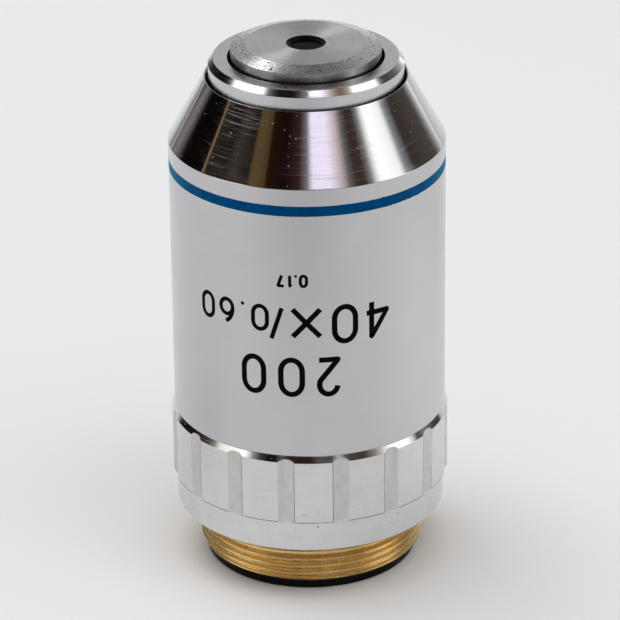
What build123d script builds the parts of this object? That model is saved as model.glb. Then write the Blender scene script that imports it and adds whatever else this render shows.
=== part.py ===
"""Infinity-corrected microscope objective with a spring-loaded nose, standing on its mounting thread.

The optical axis is Z. The rear face, on which the objective stands, is at Z = 0 and the front lens
looks up. All sizes are millimetres, and every radius is measured from the optical axis.
"""

import os
from math import sqrt

from build123d import *

# Bore of the sliding nose, from which the body's radii are built up outwards
stack_bore = 7.5
slide_wall = 1.4
slide_clearance = 0.03
spring_gap = 0.5  # from the slide inside it and from the sleeve outside it
spring_wire = 0.7
spring_turns = 6
sleeve_wall = 1.72

# Mounting end: standard 0.800 in thread, seating collar, fluted grip
rear_lip = 0.85  # the black rear stop shows this far below the thread
thread_r = 10.16  # over the crests
thread_length = 4.05
thread_pitch = 25.4 / 36
thread_depth = 0.4
thread_crest = 0.12  # width of the flat on each crest
thread_lead_in = 0.4
thread_start = 0.58  # from the end of the thread up to the bottom of its first groove
thread_relief = 1.0  # smallest room for the run-out groove
thread_shoulder = 0.25  # stands at full size between the run-out groove and the seating face
thread_wall = 1.3
seat_floor = 1.5  # joins the thread to the collar behind the seating face
collar_step = 0.40  # the grip stands this far out of the collar
collar_height = 3.3
collar_edge = 0.42  # bevel round the seating face, bare brass
grip_step = 0.26  # the grip stands this far out of the sleeve
grip_height = 6.8
grip_bevel = 0.62
flute_count = 16
flute_depth = 0.17
flute_cutter_r = 2.1
flute_start = -93.4  # degrees from +X; one flute lies just left of the front, which is -Y
spigot_height = 6.5  # the end that screws into the sleeve

# Cover sleeve: satin cylinder with a colour band, polished cone
sleeve_length = 25.5
spigot_cover = 1.0  # wall round the spigot
spigot_relief = 0.3
joint_bevel = 0.07  # breaks the lower edge, so that the joint shows as a fine line
cone_height = 5.9
rim_width = 0.15
rim_bevel = 0.12
stop_depth = 4.9  # from the rim down to the step that holds the nose in
band_width = 0.93
band_drop = 1.55  # from the cone down to the band
band_depth = 0.12

# Sliding nose
ring_width = 1.72  # of the nose's front face
nose_gap = 0.21  # round the nose where it leaves the cone
nose_reach = 1.69  # how far its ring stands out of the cone
nose_bevel_width = 0.45
nose_bevel_height = 0.54
nose_travel = 2.0
flange_clearance = 0.06
flange_height = 2.2
slide_tail = 1.7  # behind the lens stack
foot_clearance = 1.1  # above the seat floor when the nose is pushed right in

# Guide screw, which keeps the nose from turning
guide_screw_r = 0.78
guide_screw_drop = 3.2  # below the top of the spigot
guide_screw_reach = 0.65  # into its slot
guide_head_depth = 0.1
guide_slot_depth = 0.95
guide_slot_side = 0.07
guide_slot_end = 0.4
driver_slot_width = 0.3
driver_slot_depth = 0.4

# Rear stop
stop_flange = 0.63
stop_edge = 0.12
stop_shank = 2.1
stop_hole_r = 5.0
stop_hole_bevel = 0.3
stop_wall = 1.3
stop_plate = 1.0

# Front lens cell
cell_r = 6.68
cell_gap = 0.26
cell_reach = 1.21  # stands out of the nose ring
cell_bevel_width = 1.34
cell_bevel_height = 0.38
cell_seat_depth = 1.8
cell_seat_width = 0.5
cell_shank_length = 4.0
shank_wall = 1.18
window_r = 1.77
window_lip = 0.3
window_bevel = 0.35
front_lens_r = 3.0
front_lens_thickness = 2.9
second_cell_length = 3.4
second_cell_wall = 0.98
second_lens_thickness = 2.0

# Lens stack, from the front to the rear
fit_gap = 0.02  # cells in their bore, and glass in its cell
cement = 0.01
cell_lip = 0.6  # how far the lip of a cell reaches in over the glass
lip_thickness = 0.5
stack_gap = 1.0  # between the front cell and the stack
first_cell_wall = 1.86
first_cell_length = 5.8
first_crown_thickness = 3.9
first_flint_thickness = 1.2
front_spacer_length = 2.4
second_doublet_cell_wall = 1.46
second_doublet_cell_length = 6.2
second_crown_thickness = 3.9
second_flint_thickness = 1.4
pupil_stop_r = 3.9
pupil_stop_thickness = 0.8
rear_cell_wall = 2.26
rear_cell_length = 6.8
rear_negative_thickness = 1.2
rear_positive_thickness = 3.0
rear_spacer_length = 1.2
spacer_wall = 0.9
lock_ring_thickness = 1.6
lock_ring_width = 1.88
spanner_width = 1.2
spanner_depth = 0.5
spanner_reach = 1.1

# Ball radii of the glass surfaces: positive where the surface bulges forwards, to +Z, and 0 where flat
front_lens_front = 0
front_lens_rear = -4.2
second_lens_front = 0
second_lens_rear = -9.0
first_crown_front = 16.0
first_join = -12.0
first_flint_rear = 0
second_crown_front = 20.0
second_join = -14.0
second_flint_rear = 0
rear_negative_front = -9.0
rear_join = 0
rear_positive_rear = -12.0

# Radii worked out from the sizes above
stack_r = stack_bore - fit_gap
first_doublet_r = stack_r - first_cell_wall - fit_gap
second_doublet_r = stack_r - second_doublet_cell_wall - fit_gap
rear_group_r = stack_r - rear_cell_wall - fit_gap
lock_ring_hole_r = stack_r - lock_ring_width
slide_r = stack_bore + slide_wall
guide_bore = slide_r + slide_clearance
spring_mean_r = slide_r + spring_gap + spring_wire / 2
sleeve_bore = spring_mean_r + spring_wire / 2 + spring_gap
sleeve_r = sleeve_bore + sleeve_wall
flange_r = sleeve_bore - flange_clearance
grip_r = sleeve_r + grip_step
collar_r = grip_r - collar_step
thread_root_r = thread_r - thread_depth
thread_bore = thread_r - thread_wall
spigot_bore = sleeve_r - spigot_cover
spigot_r = spigot_bore - fit_gap
cell_recess_r = cell_r + cell_gap
nose_r = cell_recess_r + ring_width
nose_hole_r = nose_r + nose_gap
shank_r = cell_r - cell_seat_width
shank_bore = shank_r + fit_gap
second_bore = shank_r - shank_wall
second_lens_r = second_bore - second_cell_wall - fit_gap

# Heights worked out from the sizes above
thread_end_z = rear_lip
seat_z = thread_end_z + thread_length
first_groove_z = thread_end_z + thread_start
groove_count = int((seat_z - thread_relief - first_groove_z) / thread_pitch)
run_out_z = first_groove_z + (groove_count - 0.5) * thread_pitch + thread_crest / 2
grip_z = seat_z + collar_height
sleeve_z = grip_z + grip_height
spigot_z = sleeve_z + spigot_height
cone_z = sleeve_z + sleeve_length
band_top_z = cone_z - band_drop
band_bottom_z = band_top_z - band_width
rim_z = cone_z + cone_height
stop_z = rim_z - stop_depth
flange_z = stop_z - flange_height
nose_z = rim_z + nose_reach
seat_floor_z = seat_z + seat_floor
nose_foot_z = seat_floor_z + foot_clearance + nose_travel
cell_z = nose_z + cell_reach
cell_seat_z = nose_z - cell_seat_depth
shank_end_z = cell_seat_z - cell_shank_length
second_cell_z = shank_end_z + second_cell_length
guide_screw_z = spigot_z - guide_screw_drop

# The stack hangs from a shoulder in the nose. The middle spacer takes up what the other pieces leave.
first_cell_z = shank_end_z - stack_gap
front_spacer_z = first_cell_z - first_cell_length
second_doublet_z = front_spacer_z - front_spacer_length
middle_spacer_z = second_doublet_z - second_doublet_cell_length
lock_ring_z = nose_foot_z + slide_tail + lock_ring_thickness
rear_spacer_z = lock_ring_z + rear_spacer_length
rear_cell_z = rear_spacer_z + rear_cell_length
pupil_stop_z = rear_cell_z + pupil_stop_thickness


def sag(ball_r, reach):
    """How far a ball falls away from its pole, at a distance from the axis."""
    return ball_r - sqrt(ball_r**2 - reach**2)


def glass_face(pole_z, glass_r, ball_r):
    """Half outline of a glass surface, from its pole on the axis out to the rim."""
    if ball_r == 0:
        return Line((0, pole_z), (glass_r, pole_z))
    side = -1 if ball_r > 0 else 1
    middle = (glass_r / 2, pole_z + side * sag(abs(ball_r), glass_r / 2))
    rim = (glass_r, pole_z + side * sag(abs(ball_r), glass_r))
    return ThreePointArc((0, pole_z), middle, rim)


def pole_behind(lip_z, glass_r, ball_r):
    """Height of the pole of a lens that seats behind a lip whose rear face is at lip_z."""
    if ball_r > 0:
        return lip_z - fit_gap + sag(ball_r, glass_r - cell_lip)
    if ball_r < 0:
        return lip_z - fit_gap - sag(-ball_r, glass_r)
    return lip_z - fit_gap


def lens(front_pole_z, glass_r, front_ball_r, rear_ball_r, thickness):
    """A lens on the axis, with its front pole at front_pole_z."""
    with BuildPart() as glass:
        with BuildSketch(Plane.XZ):
            with BuildLine():
                front = glass_face(front_pole_z, glass_r, front_ball_r)
                rear = glass_face(front_pole_z - thickness, glass_r, rear_ball_r)
                Line(front @ 1, rear @ 1)
                Line(rear @ 0, front @ 0)
            make_face()
        revolve(axis=Axis.Z)
    return glass


def ring(top_z, height, outer_r, inner_r):
    """A plain turned ring that hangs down from top_z."""
    with BuildPart() as turned:
        with BuildSketch(Plane.XY.offset(top_z - height)):
            Circle(outer_r)
            Circle(inner_r, mode=Mode.SUBTRACT)
        extrude(amount=height)
    return turned


def lens_cell(top_z, height, outer_r, glass_r):
    """A turned cell. Its glass goes in from the rear, against the lip at the front."""
    with BuildPart() as cell:
        with BuildSketch(Plane.XZ):
            with BuildLine():
                Polyline(
                    (glass_r - cell_lip, top_z),
                    (outer_r, top_z),
                    (outer_r, top_z - height),
                    (glass_r + fit_gap, top_z - height),
                    (glass_r + fit_gap, top_z - lip_thickness),
                    (glass_r - cell_lip, top_z - lip_thickness),
                    close=True,
                )
            make_face()
        revolve(axis=Axis.Z)
    return cell


# Threaded mount: one brass turning with thread, seating collar, fluted grip and spigot. Its thread is
# cut as rings at its pitch, so that every crest is a plain cylinder that a gauge can be set against.
groove_half_width = (thread_pitch - thread_crest) / 2
groove_over = 0.1  # the tool's outline reaches this share of the depth out past the crests
with BuildPart() as threaded_mount:
    with BuildSketch(Plane.XZ):
        with BuildLine():
            Polyline(
                (thread_bore, thread_end_z),
                (thread_r - thread_lead_in, thread_end_z),
                (thread_r, thread_end_z + thread_lead_in),
                (thread_r, run_out_z),
                (thread_root_r, run_out_z + groove_half_width),
                (thread_root_r, seat_z - thread_shoulder - thread_depth),
                (thread_r, seat_z - thread_shoulder),
                (thread_r, seat_z),
                (collar_r - collar_edge, seat_z),
                (collar_r, seat_z + collar_edge),
                (collar_r, grip_z),
                (grip_r, grip_z),
                (grip_r, sleeve_z - grip_bevel),
                (sleeve_r, sleeve_z),
                (spigot_r, sleeve_z),
                (spigot_r, spigot_z),
                (guide_bore, spigot_z),
                (guide_bore, seat_floor_z),
                (thread_bore, seat_floor_z),
                close=True,
            )
        make_face()
    revolve(axis=Axis.Z)
    with BuildSketch(Plane.XZ):
        with Locations([(thread_r, first_groove_z + n * thread_pitch) for n in range(groove_count)]):
            Polygon(
                (-thread_depth, 0),
                (groove_over * thread_depth, -groove_half_width * (1 + groove_over)),
                (groove_over * thread_depth, groove_half_width * (1 + groove_over)),
                align=None,
            )
    revolve(axis=Axis.Z, mode=Mode.SUBTRACT)
    # The flutes run from the collar right through the bevel
    flute_axis_r = grip_r - flute_depth + flute_cutter_r
    with BuildSketch(Plane.XY.offset(grip_z)):
        with PolarLocations(flute_axis_r, flute_count, start_angle=flute_start):
            Circle(flute_cutter_r)
    extrude(amount=grip_height, mode=Mode.SUBTRACT)
    # Tapped hole for the guide screw, at the back
    with BuildSketch(Plane.XZ.offset(-guide_bore / 2)):
        with Locations((0, guide_screw_z)):
            Circle(guide_screw_r + fit_gap)
    extrude(amount=-spigot_r, mode=Mode.SUBTRACT)
threaded_mount.part.label = "threaded_mount"

# Cover sleeve: satin cylinder and polished cone in one turning
with BuildPart() as cover_sleeve:
    with BuildSketch(Plane.XZ):
        with BuildLine():
            Polyline(
                (spigot_bore, sleeve_z),
                (sleeve_r - joint_bevel, sleeve_z),
                (sleeve_r, sleeve_z + joint_bevel),
                (sleeve_r, band_bottom_z),
                (sleeve_r - band_depth, band_bottom_z),
                (sleeve_r - band_depth, band_top_z),
                (sleeve_r, band_top_z),
                (sleeve_r, cone_z),
                (nose_hole_r + rim_width, rim_z),
                (nose_hole_r + rim_bevel, rim_z),
                (nose_hole_r, rim_z - rim_bevel),
                (nose_hole_r, stop_z),
                (sleeve_bore, stop_z),
                (sleeve_bore, spigot_z + spigot_relief),
                (spigot_bore, spigot_z + spigot_relief),
                close=True,
            )
        make_face()
    revolve(axis=Axis.Z)
cover_sleeve.part.label = "cover_sleeve"

# Colour band: the enamel that fills its groove and marks the magnification
colour_band = ring(band_top_z, band_width, sleeve_r, sleeve_r - band_depth)
colour_band.part.label = "colour_band"

# Nose barrel: front ring, stop flange, and the long slide that holds the lens stack
with BuildPart() as nose_barrel:
    with BuildSketch(Plane.XZ):
        with BuildLine():
            Polyline(
                (cell_recess_r, nose_z),
                (nose_r - nose_bevel_width, nose_z),
                (nose_r, nose_z - nose_bevel_height),
                (nose_r, stop_z),
                (flange_r, stop_z),
                (flange_r, flange_z),
                (slide_r, flange_z),
                (slide_r, nose_foot_z),
                (stack_bore, nose_foot_z),
                (stack_bore, first_cell_z),
                (shank_bore, first_cell_z),
                (shank_bore, cell_seat_z),
                (cell_recess_r, cell_seat_z),
                close=True,
            )
        make_face()
    revolve(axis=Axis.Z)
    # Slot for the guide screw, long enough for the full travel
    slot_bottom_z = guide_screw_z - guide_screw_r - guide_slot_end
    slot_top_z = guide_screw_z + guide_screw_r + nose_travel + guide_slot_end
    with BuildSketch(Plane.XZ.offset(guide_slot_depth - slide_r)):
        with Locations((0, (slot_bottom_z + slot_top_z) / 2)):
            SlotOverall(slot_top_z - slot_bottom_z, 2 * (guide_screw_r + guide_slot_side), rotation=90)
    extrude(amount=-slide_r, mode=Mode.SUBTRACT)
nose_barrel.part.label = "nose_barrel"

# Front cell: bevelled face with a small window, screwed into the nose barrel
window_z = cell_z - window_lip
with BuildPart() as front_cell:
    with BuildSketch(Plane.XZ):
        with BuildLine():
            Polyline(
                (window_r, cell_z),
                (cell_r - cell_bevel_width, cell_z),
                (cell_r, cell_z - cell_bevel_height),
                (cell_r, cell_seat_z),
                (shank_r, cell_seat_z),
                (shank_r, shank_end_z),
                (second_bore, shank_end_z),
                (second_bore, second_cell_z),
                (front_lens_r + fit_gap, second_cell_z),
                (front_lens_r + fit_gap, window_z),
                (window_r - window_bevel, window_z),
                close=True,
            )
        make_face()
    revolve(axis=Axis.Z)
front_cell.part.label = "front_cell"

# Front lens: thick and strongly curved at the rear, flat behind the window
front_pole_z = pole_behind(window_z, front_lens_r, front_lens_front)
front_lens = lens(front_pole_z, front_lens_r, front_lens_front, front_lens_rear, front_lens_thickness)
front_lens.part.label = "front_lens"

# Second lens and its cell, in the rear bore of the front cell
second_cell = lens_cell(second_cell_z, second_cell_length, second_bore - fit_gap, second_lens_r)
second_cell.part.label = "second_cell"

second_pole_z = pole_behind(second_cell_z - lip_thickness, second_lens_r, second_lens_front)
second_lens = lens(
    second_pole_z, second_lens_r, second_lens_front, second_lens_rear, second_lens_thickness
)
second_lens.part.label = "second_lens"

# First doublet: crown and flint cemented together in their cell
first_doublet_cell = lens_cell(first_cell_z, first_cell_length, stack_r, first_doublet_r)
first_doublet_cell.part.label = "first_doublet_cell"

first_pole_z = pole_behind(first_cell_z - lip_thickness, first_doublet_r, first_crown_front)
first_crown = lens(
    first_pole_z, first_doublet_r, first_crown_front, first_join, first_crown_thickness
)
first_crown.part.label = "first_crown"

first_join_z = first_pole_z - first_crown_thickness - cement
first_flint = lens(
    first_join_z, first_doublet_r, first_join, first_flint_rear, first_flint_thickness
)
first_flint.part.label = "first_flint"

# Front spacer
front_spacer = ring(front_spacer_z, front_spacer_length, stack_r, stack_r - spacer_wall)
front_spacer.part.label = "front_spacer"

# Second doublet
second_doublet_cell = lens_cell(
    second_doublet_z, second_doublet_cell_length, stack_r, second_doublet_r
)
second_doublet_cell.part.label = "second_doublet_cell"

second_doublet_pole_z = pole_behind(
    second_doublet_z - lip_thickness, second_doublet_r, second_crown_front
)
second_crown = lens(
    second_doublet_pole_z, second_doublet_r, second_crown_front, second_join, second_crown_thickness
)
second_crown.part.label = "second_crown"

second_join_z = second_doublet_pole_z - second_crown_thickness - cement
second_flint = lens(
    second_join_z, second_doublet_r, second_join, second_flint_rear, second_flint_thickness
)
second_flint.part.label = "second_flint"

# Middle spacer, cut to length to set the air gap
middle_spacer = ring(middle_spacer_z, middle_spacer_z - pupil_stop_z, stack_r, stack_r - spacer_wall)
middle_spacer.part.label = "middle_spacer"

# Pupil stop
pupil_stop = ring(pupil_stop_z, pupil_stop_thickness, stack_r, pupil_stop_r)
pupil_stop.part.label = "pupil_stop"

# Rear group: negative and positive lens cemented together in their cell
rear_cell = lens_cell(rear_cell_z, rear_cell_length, stack_r, rear_group_r)
rear_cell.part.label = "rear_cell"

rear_pole_z = pole_behind(rear_cell_z - lip_thickness, rear_group_r, rear_negative_front)
rear_negative = lens(
    rear_pole_z, rear_group_r, rear_negative_front, rear_join, rear_negative_thickness
)
rear_negative.part.label = "rear_negative"

rear_join_z = rear_pole_z - rear_negative_thickness - cement
rear_positive = lens(
    rear_join_z, rear_group_r, rear_join, rear_positive_rear, rear_positive_thickness
)
rear_positive.part.label = "rear_positive"

# Rear spacer
rear_spacer = ring(rear_spacer_z, rear_spacer_length, stack_r, stack_r - spacer_wall)
rear_spacer.part.label = "rear_spacer"

# Lock ring: screwed in behind the stack with a pin spanner
with BuildPart() as lock_ring:
    with BuildSketch(Plane.XY.offset(lock_ring_z - lock_ring_thickness)):
        Circle(stack_r)
        Circle(lock_ring_hole_r, mode=Mode.SUBTRACT)
    extrude(amount=lock_ring_thickness)
    with BuildSketch(Plane.XY.offset(lock_ring_z - lock_ring_thickness)):
        Rectangle(2 * (lock_ring_hole_r + spanner_reach), spanner_width)
    extrude(amount=spanner_depth, mode=Mode.SUBTRACT)
lock_ring.part.label = "lock_ring"

# Return spring: both ends ground flat, between the spigot and the stop flange. The wire's section is
# a hexagon as wide across its flats as the round wire.
with BuildPart() as return_spring:
    spring_height = flange_z - spigot_z
    with BuildLine(Plane.XY.offset(spigot_z)):
        wire_path = Helix(spring_height / spring_turns, spring_height, spring_mean_r)
    with BuildSketch(Plane(wire_path @ 0, z_dir=wire_path % 0)):
        RegularPolygon(spring_wire / 2, 6, major_radius=False)
    sweep(path=wire_path)
    with BuildSketch(Plane.XY.offset(spigot_z)):
        Circle(sleeve_bore)
    extrude(amount=spring_height, mode=Mode.INTERSECT)
return_spring.part.label = "return_spring"

# Guide screw: headless, its plain tip runs in the slot of the nose barrel
with BuildPart() as guide_screw:
    screw_tip_y = slide_r - guide_screw_reach
    screw_head_y = spigot_r - guide_head_depth
    with BuildSketch(Plane.XZ.offset(-screw_tip_y)):
        with Locations((0, guide_screw_z)):
            Circle(guide_screw_r)
    extrude(amount=screw_tip_y - screw_head_y)
    with BuildSketch(Plane.XZ.offset(driver_slot_depth - screw_head_y)):
        with Locations((0, guide_screw_z)):
            Rectangle(2 * guide_screw_r, driver_slot_width)
    extrude(amount=-driver_slot_depth, mode=Mode.SUBTRACT)
guide_screw.part.label = "guide_screw"

# Rear stop: black threaded ring that closes the rear and limits the beam
with BuildPart() as rear_stop:
    stop_r = thread_bore + stop_flange
    stop_shank_r = thread_bore - fit_gap
    stop_top_z = rear_lip + stop_shank
    with BuildSketch(Plane.XZ):
        with BuildLine():
            Polyline(
                (stop_hole_r + stop_hole_bevel, 0),
                (stop_r - stop_edge, 0),
                (stop_r, stop_edge),
                (stop_r, rear_lip),
                (stop_shank_r, rear_lip),
                (stop_shank_r, stop_top_z),
                (stop_shank_r - stop_wall, stop_top_z),
                (stop_shank_r - stop_wall, stop_plate),
                (stop_hole_r, stop_plate),
                (stop_hole_r, stop_hole_bevel),
                close=True,
            )
        make_face()
    revolve(axis=Axis.Z)
    with BuildSketch(Plane.XY):
        Rectangle(2 * (stop_hole_r + stop_hole_bevel + spanner_reach), spanner_width)
    extrude(amount=spanner_depth, mode=Mode.SUBTRACT)
rear_stop.part.label = "rear_stop"

pieces = [
    threaded_mount,
    cover_sleeve,
    colour_band,
    return_spring,
    guide_screw,
    rear_stop,
    nose_barrel,
    front_cell,
    front_lens,
    second_cell,
    second_lens,
    first_doublet_cell,
    first_crown,
    first_flint,
    front_spacer,
    second_doublet_cell,
    second_crown,
    second_flint,
    middle_spacer,
    pupil_stop,
    rear_cell,
    rear_negative,
    rear_positive,
    rear_spacer,
    lock_ring,
]

os.makedirs("parts", exist_ok=True)
for piece in pieces:
    export_step(piece.part, f"parts/{piece.part.label}.step")
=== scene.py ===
import math
from functools import partial
from types import SimpleNamespace as Sizes

import bmesh
import bpy
from mathutils import Euler, Matrix, Vector


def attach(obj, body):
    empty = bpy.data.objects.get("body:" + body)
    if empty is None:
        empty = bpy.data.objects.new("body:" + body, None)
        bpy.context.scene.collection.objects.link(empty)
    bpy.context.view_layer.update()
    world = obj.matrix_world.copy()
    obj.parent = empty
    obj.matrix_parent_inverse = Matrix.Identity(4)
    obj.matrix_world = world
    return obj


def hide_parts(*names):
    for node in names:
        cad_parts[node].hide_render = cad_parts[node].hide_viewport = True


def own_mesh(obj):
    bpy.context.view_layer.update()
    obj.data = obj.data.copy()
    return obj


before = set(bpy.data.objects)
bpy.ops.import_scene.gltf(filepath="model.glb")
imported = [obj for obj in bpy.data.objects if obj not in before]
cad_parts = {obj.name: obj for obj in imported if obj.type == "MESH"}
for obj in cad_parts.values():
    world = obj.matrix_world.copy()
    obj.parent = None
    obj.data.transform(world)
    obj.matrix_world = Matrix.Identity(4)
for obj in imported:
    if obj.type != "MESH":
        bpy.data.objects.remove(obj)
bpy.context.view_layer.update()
bpy.context.scene.view_settings.view_transform = "Standard"
print("frame loaded")

mm = 0.001
viewAzimuth = 6.7  # degrees from -Y towards +X, where the camera stands
sine, cosine = math.sin(math.radians(viewAzimuth)), math.cos(math.radians(viewAzimuth))
opticsBody, mountBody = "nose", "body"


def feed(tree, node, feeds):
    # each feed is a socket to link or a value to set
    for socket, value in feeds.items():
        if isinstance(value, bpy.types.NodeSocket):
            tree.links.new(value, node.inputs[socket])
        else:
            node.inputs[socket].default_value = value


def put(tree, kind, feeds=None, **settings):
    node = tree.nodes.new(kind)
    for key, value in settings.items():
        setattr(node, key, value)
    feed(tree, node, feeds or {})
    return node


def sums(tree, operation, first, second=0.0, third=0.0):
    feeds = {0: first, 1: second}
    if operation in ("MULTIPLY_ADD", "WRAP", "SMOOTH_MIN"):
        feeds[2] = third
    return put(tree, "ShaderNodeMath", feeds, operation=operation).outputs[0]


def maths(tree):
    # any operation by its name, then the three that are used most
    return partial(sums, tree), *(partial(sums, tree, sign) for sign in ("ADD", "SUBTRACT", "MULTIPLY"))


def vectors(tree, operation, first, second=None, scale=None):
    feeds = {0: first}
    if second is not None:
        feeds[1] = second
    if scale is not None:
        feeds["Scale"] = scale
    node = put(tree, "ShaderNodeVectorMath", feeds, operation=operation)
    return node.outputs["Value" if operation in ("LENGTH", "DOT_PRODUCT") else "Vector"]


def spread(tree, value, low, high, newLow=0.0, newHigh=1.0, smooth=False):
    feeds = {0: value, 1: low, 2: high, 3: newLow, 4: newHigh}
    kind = "SMOOTHSTEP" if smooth else "LINEAR"
    return put(tree, "ShaderNodeMapRange", feeds, interpolation_type=kind, clamp=True).outputs[0]


def mixed(tree, share, first, second):
    first, second = ((*colour, 1.0) if isinstance(colour, tuple) else colour for colour in (first, second))
    return put(tree, "ShaderNodeMix", {0: share, 6: first, 7: second}, data_type="RGBA").outputs[2]


def noise(tree, vector, scale, detail=2.0):
    return put(tree, "ShaderNodeTexNoise", {"Vector": vector, "Scale": scale, "Detail": detail}).outputs[0]


def relief(tree, height, depth):
    # bump in a finish, its depth in millimetres
    return put(tree, "ShaderNodeBump", {"Height": height, "Distance": depth * mm}).outputs[0]


def newMaterial(name, colour):
    material = bpy.data.materials.new(name)
    material.use_nodes = True
    material.diffuse_color = (*colour, 1.0)
    return material, material.node_tree, material.node_tree.nodes["Principled BSDF"]


def turnedPlace(tree):
    # a point on a turned piece, in millimetres: place, distance from the axis, height, direction round the axis
    raw = put(tree, "ShaderNodeTexCoord").outputs["Object"]
    place = vectors(tree, "SCALE", raw, scale=1000.0)
    parts = put(tree, "ShaderNodeSeparateXYZ", {0: place})
    flat = put(tree, "ShaderNodeCombineXYZ", {0: parts.outputs[0], 1: parts.outputs[1]}).outputs[0]
    reach = vectors(tree, "LENGTH", flat)
    return place, reach, parts.outputs[2], vectors(tree, "NORMALIZE", flat)


def turnedLines(tree, reach, height, around, across, along, detail=2.0):
    # noise drawn out into lines round the axis, as a lathe tool leaves them
    run = sums(tree, "MULTIPLY", sums(tree, "MULTIPLY_ADD", reach, 0.7, height), across)
    up = put(tree, "ShaderNodeCombineXYZ", {2: run}).outputs[0]
    turn = vectors(tree, "SCALE", around, scale=along)
    return noise(tree, vectors(tree, "ADD", up, turn), 1.0, detail)


def specks(tree, place, density, size, seed):
    # scattered dots: 1 on a dot, 0 off it
    moved = vectors(tree, "ADD", place, (seed * 7.3, seed * 3.1, seed * 5.7))
    cells = put(tree, "ShaderNodeTexVoronoi", {"Vector": moved, "Scale": density})
    chosen = put(tree, "ShaderNodeSeparateColor", {0: cells.outputs["Color"]}).outputs[0]
    limit = spread(tree, chosen, 0.72, 1.0, 0.0, size * density)
    return sums(tree, "LESS_THAN", cells.outputs["Distance"], limit)


def turnedMetal(name, look):
    # bare or plated metal off a lathe: lines round the axis, cloudy patches, dust or pits, fine scratches
    usual = dict(cloud=0.35, grain=9.0, lineTone=0.4, lineDepth=0.5, grainDepth=0.3, specks=(), seed=1, pull=0.0,
                 scratches=None, patchScale=0.16, patchEdge=(0.46, 0.6), scratchEdge=(0.56, 0.66))
    look = Sizes(**{**usual, **look})
    material, tree, shader = newMaterial(name, look.colour)
    calc = partial(sums, tree)
    place, reach, height, around = turnedPlace(tree)
    fine = turnedLines(tree, reach, height, around, look.across, look.along)
    cloud = noise(tree, place, look.cloud, 3.0)
    grain = noise(tree, place, look.grain, 2.0)
    tone = calc("MULTIPLY_ADD", spread(tree, fine, 0.3, 0.7), look.lineTone,
                calc("MULTIPLY", spread(tree, cloud, 0.35, 0.65), 1.0 - look.lineTone))
    colour = mixed(tree, tone, tuple(c * look.dark for c in look.colour), look.colour)
    low, high = look.roughness
    roughness = spread(tree, tone, 0.0, 1.0, high, low)
    rise = calc("MULTIPLY_ADD", fine, look.lineDepth, calc("MULTIPLY", grain, look.grainDepth))
    if look.scratches:  # short hairlines round the axis, only in patches
        lines = turnedLines(tree, reach, height, around, *look.scratches, 1.0)
        patch = spread(tree, noise(tree, place, look.patchScale, 1.0), *look.patchEdge)
        scratch = calc("MULTIPLY", spread(tree, lines, *look.scratchEdge), patch)
        roughness = calc("MULTIPLY_ADD", scratch, look.scratchRough, roughness)
        rise = calc("MULTIPLY_ADD", scratch, look.scratchDepth, rise)
    for index, (density, size, shade, rough) in enumerate(look.specks):
        dots = specks(tree, place, density, size, index + look.seed)
        colour = mixed(tree, dots, colour, shade)
        roughness = calc("MULTIPLY_ADD", dots, calc("SUBTRACT", rough, roughness), roughness)
    bump = relief(tree, rise, look.bump)
    feed(tree, shader, {"Base Color": colour, "Roughness": roughness, "Metallic": 1.0, "Normal": bump})
    if look.pull:  # highlights stretch across the lines
        raw = put(tree, "ShaderNodeTexCoord").outputs["Object"]
        along = vectors(tree, "CROSS_PRODUCT", (0.0, 0.0, 1.0), raw)
        world = put(tree, "ShaderNodeVectorTransform", {0: along}, vector_type="VECTOR", convert_from="OBJECT",
                    convert_to="WORLD")
        feed(tree, shader, {"Tangent": vectors(tree, "NORMALIZE", world.outputs[0]), "Anisotropic": look.pull,
                            "Anisotropic Rotation": 0.25})
    return material


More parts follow.
